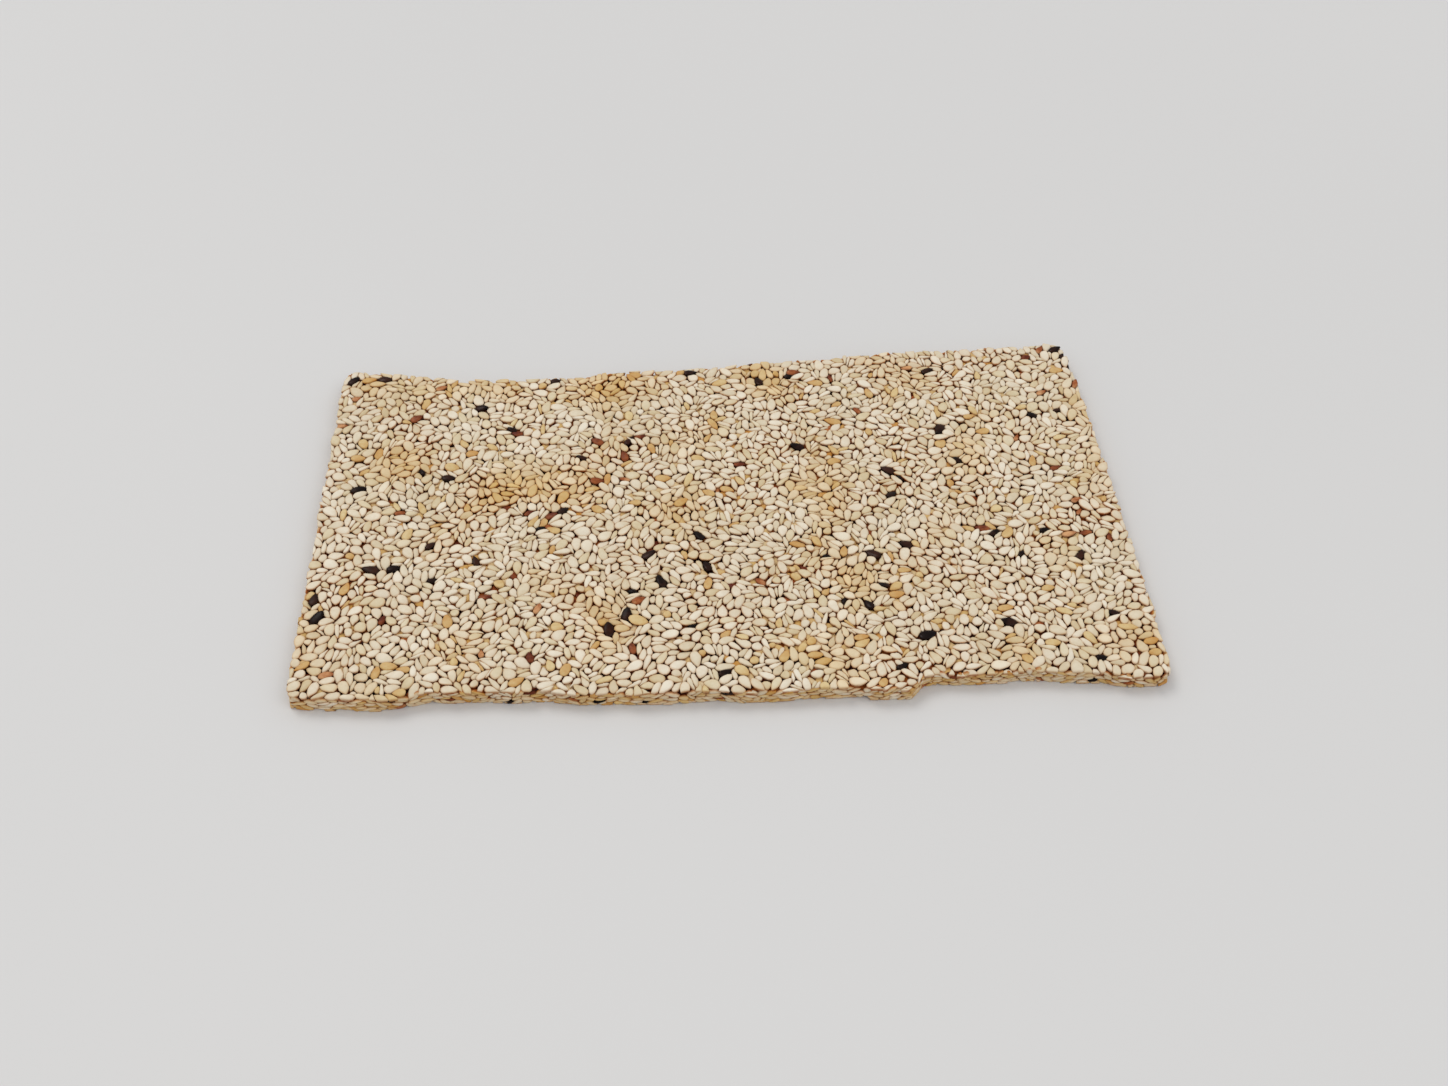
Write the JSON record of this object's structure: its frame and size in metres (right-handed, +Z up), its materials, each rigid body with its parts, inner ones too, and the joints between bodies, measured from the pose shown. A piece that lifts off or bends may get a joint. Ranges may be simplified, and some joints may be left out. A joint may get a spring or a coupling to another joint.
{
  "type": "sesame brittle slab",
  "caption": "Thin rectangular sheet of sesame brittle lying flat, pale seeds pressed into clear toffee, with hand-cut edges and one snapped step.",
  "frame": {"origin": "middle of the bounding box on the flat underside", "axes": "+X along the sheet, +Y from the front edge with the snapped step to the back edge, +Z up out of the rolled face"},
  "size_m": [0.1444, 0.0814, 0.0037],
  "materials": {
    "toffee": "clear pale golden toffee seen between the seeds, with a low sugar sheen",
    "hulled_seed": "pale ivory to cream hulled sesame seeds with a thin satin film of sugar",
    "golden_seed": "lightly toasted golden sesame seeds, some under a thicker drop of toffee",
    "russet_seed": "dark toasted red-brown seeds and flecks of seed coat",
    "dark_seed": "black sesame seeds with a small gloss"
  },
  "bodies": {
    "root": {"brittle_slab": "toffee"}
  },
  "joints": []
}
